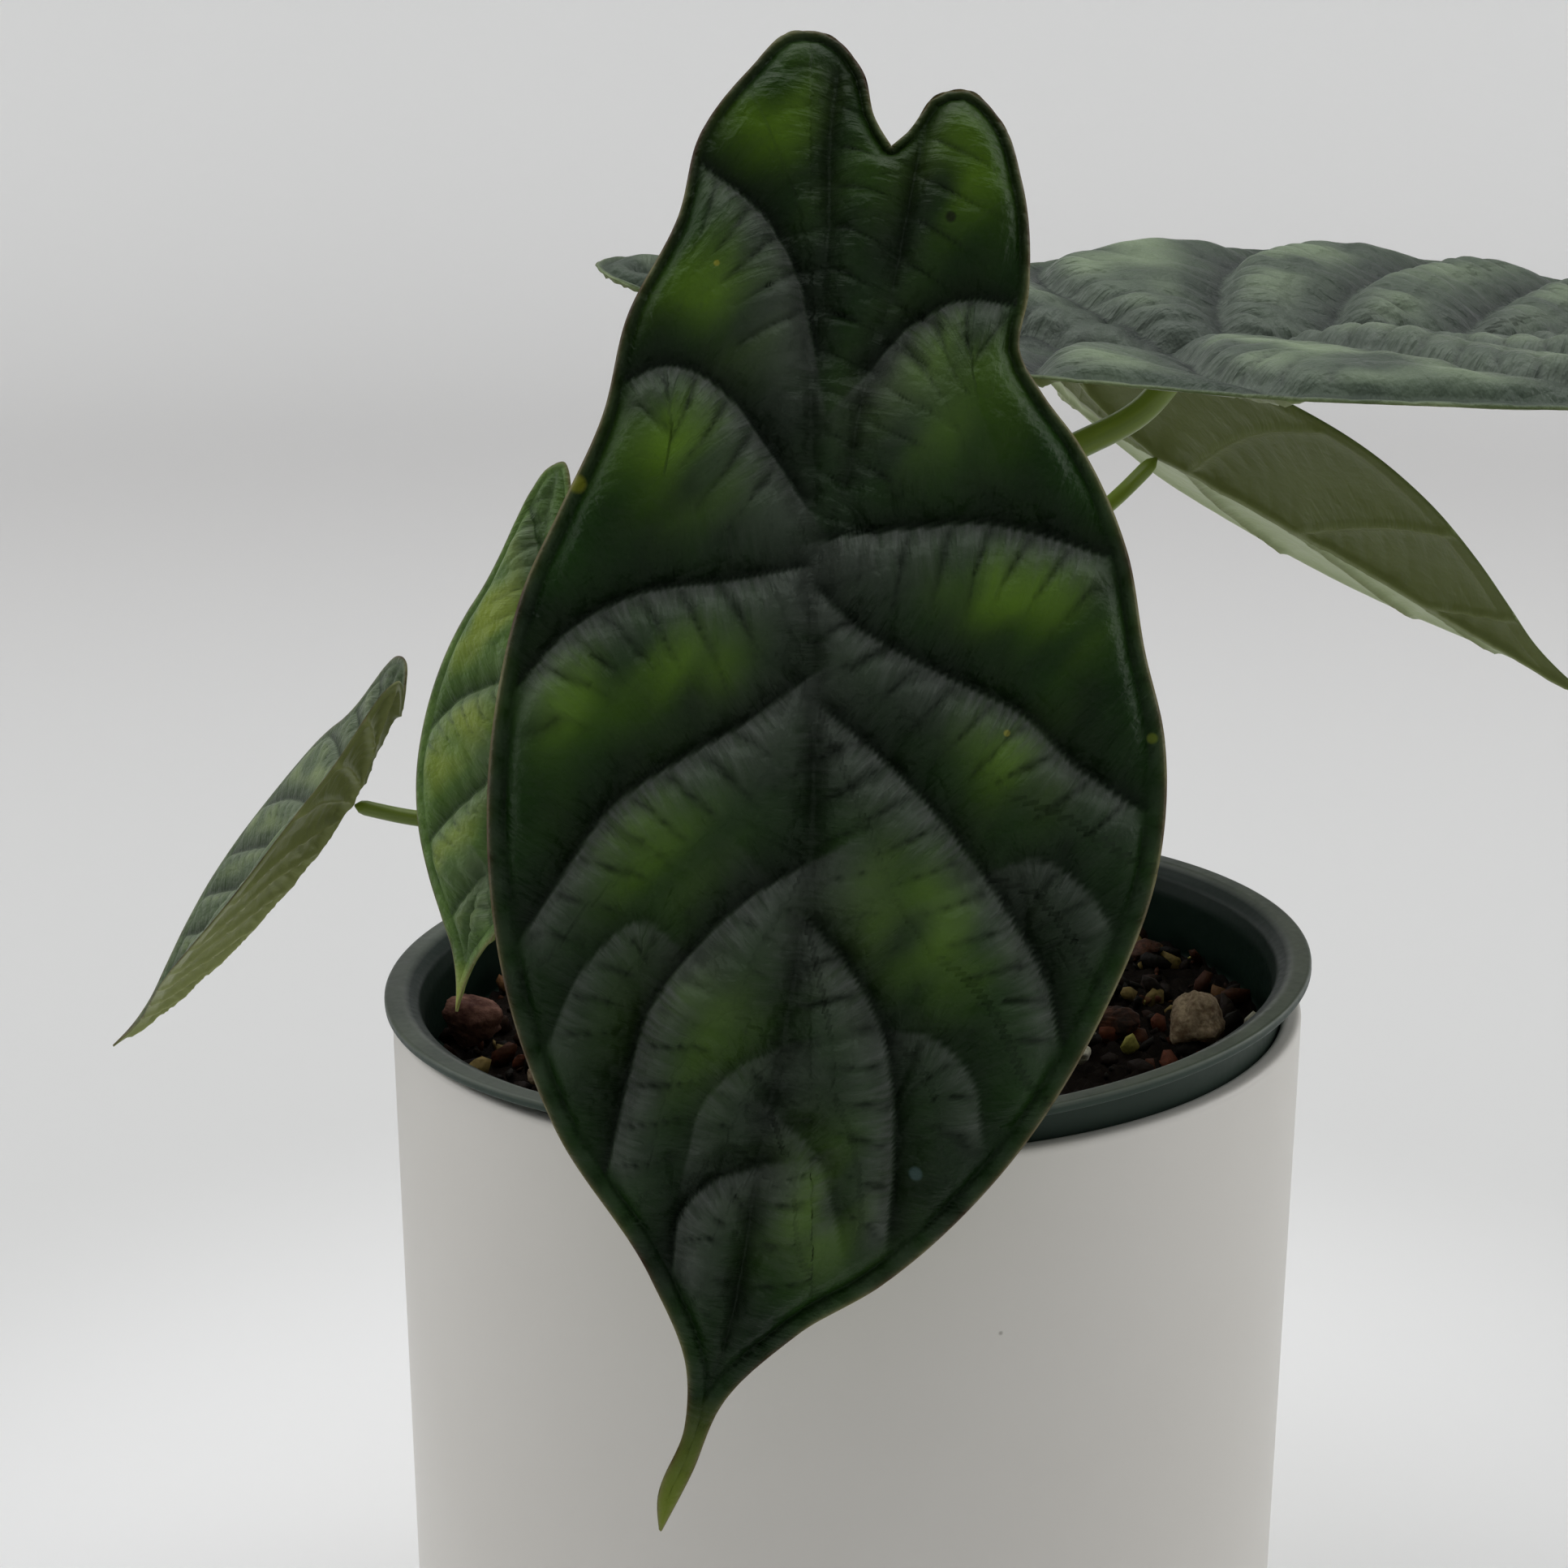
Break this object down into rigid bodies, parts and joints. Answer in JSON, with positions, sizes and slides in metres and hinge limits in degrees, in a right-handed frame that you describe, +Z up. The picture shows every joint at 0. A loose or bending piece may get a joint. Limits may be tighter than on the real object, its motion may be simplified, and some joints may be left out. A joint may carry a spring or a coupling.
{
  "type": "potted alocasia",
  "caption": "Young alocasia with dark quilted heart-shaped leaves on slim stalks, in a dark nursery pot that rests by its lip in a plain white cylindrical ceramic cachepot.",
  "frame": {"origin": "centre of the cachepot's flat foot", "axes": "+Z up, -Y towards the side where the large front leaf hangs, +X towards the long leaf at the right"},
  "size_m": [0.2802, 0.1866, 0.2484],
  "materials": {
    "glazed_ceramic_white": "white ceramic with a satin, nearly matte glaze",
    "nursery_plastic": "dark green polypropylene, moulded, satin",
    "potting_mix": "dark damp bark and coir mix",
    "corm": "brown fibrous skin",
    "leaf_blade": "dark green quilted leaf with a grey metallic sheen, paler olive below",
    "leaf_stalk": "smooth yellow-green, satin",
    "stone": "rough pink-brown lava stone",
    "husk": "tan coconut husk, fibrous",
    "bark": "reddish-brown pine bark, damp",
    "perlite": "off-white expanded mineral grains, matte"
  },
  "bodies": {
    "root": {"cachepot": "glazed_ceramic_white", "nursery_pot": "nursery_plastic", "potting_mix": "potting_mix", "corm": "corm", "blade_front": "leaf_blade", "blade_small_left": "leaf_blade", "blade_left": "leaf_blade", "blade_right_upper": "leaf_blade", "blade_right_lower": "leaf_blade", "stalk_front": "leaf_stalk", "stalk_small_left": "leaf_stalk", "stalk_left": "leaf_stalk", "stalk_right_upper": "leaf_stalk", "stalk_right_lower": "leaf_stalk", "lava_stone_left": "stone", "bark_chunk_right": "husk", "bark_chip_back": "bark", "bark_chip_front_right": "bark", "bark_chip_front_left": "husk", "bark_chip_left": "bark", "bark_chip_far": "bark", "bark_chip_near": "bark", "husk_chip_back_left": "husk", "husk_chip_inner": "husk", "perlite_front_right": "perlite", "perlite_left": "perlite", "perlite_back": "perlite", "perlite_near_left": "perlite"}
  },
  "joints": []
}
